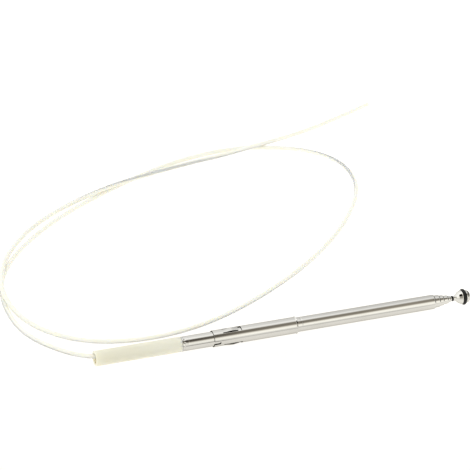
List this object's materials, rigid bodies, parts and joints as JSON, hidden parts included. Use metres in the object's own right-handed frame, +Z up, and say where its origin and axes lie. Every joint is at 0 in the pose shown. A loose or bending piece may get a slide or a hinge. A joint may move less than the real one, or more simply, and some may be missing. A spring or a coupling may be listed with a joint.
{
  "type": "telescopic antenna mast",
  "caption": "Chromed telescopic antenna mast, pushed together, with a contact sleeve, a tip head, a nylon guide sleeve and a long toothed nylon drive cable.",
  "frame": {"origin": "middle of the closed mast's length (tip to guide sleeve's end, cable left out), on the surface it lies on", "axes": "+X along the mast towards its tip, +Z up, +Y towards the side that the cable lies on"},
  "size_m": [0.3888, 0.3709, 0.0122],
  "materials": {
    "ivory_nylon": "moulded nylon, warm ivory, satin",
    "cable_nylon": "extruded nylon, off-white, satin",
    "chrome": "bright chrome plating, fine drawing marks along the tubes",
    "spring_bronze": "rolled spring bronze",
    "brass": "turned brass",
    "black_rubber": "black rubber, semi-matt"
  },
  "bodies": {
    "outer": {"guide_sleeve": "ivory_nylon", "outer_tube": "chrome", "contact_sleeve": "chrome", "drive_cable": "cable_nylon"},
    "section_2": {"tube_2": "chrome", "foot_spring_2": "spring_bronze"},
    "section_3": {"tube_3": "chrome", "foot_spring_3": "spring_bronze"},
    "section_4": {"tube_4": "chrome", "foot_spring_4": "spring_bronze"},
    "section_5": {"tube_5": "chrome", "foot_spring_5": "spring_bronze"},
    "rod_section": {"rod": "chrome", "foot_spring_6": "spring_bronze", "cable_crimp": "brass", "bump_washer": "black_rubber", "tip_head": "chrome", "o_ring": "black_rubber"}
  },
  "joints": [
    {"name": "section_2_slide", "type": "slide", "parent": "outer", "child": "section_2", "axis": [1, 0, 0], "range_m": [0, 0.162]},
    {"name": "section_3_slide", "type": "slide", "parent": "section_2", "child": "section_3", "axis": [1, 0, 0], "range_m": [0, 0.1571]},
    {"name": "section_4_slide", "type": "slide", "parent": "section_3", "child": "section_4", "axis": [1, 0, 0], "range_m": [0, 0.1513]},
    {"name": "section_5_slide", "type": "slide", "parent": "section_4", "child": "section_5", "axis": [1, 0, 0], "range_m": [0, 0.1459]},
    {"name": "rod_slide", "type": "slide", "parent": "section_5", "child": "rod_section", "axis": [1, 0, 0], "range_m": [0, 0.1389]}
  ]
}
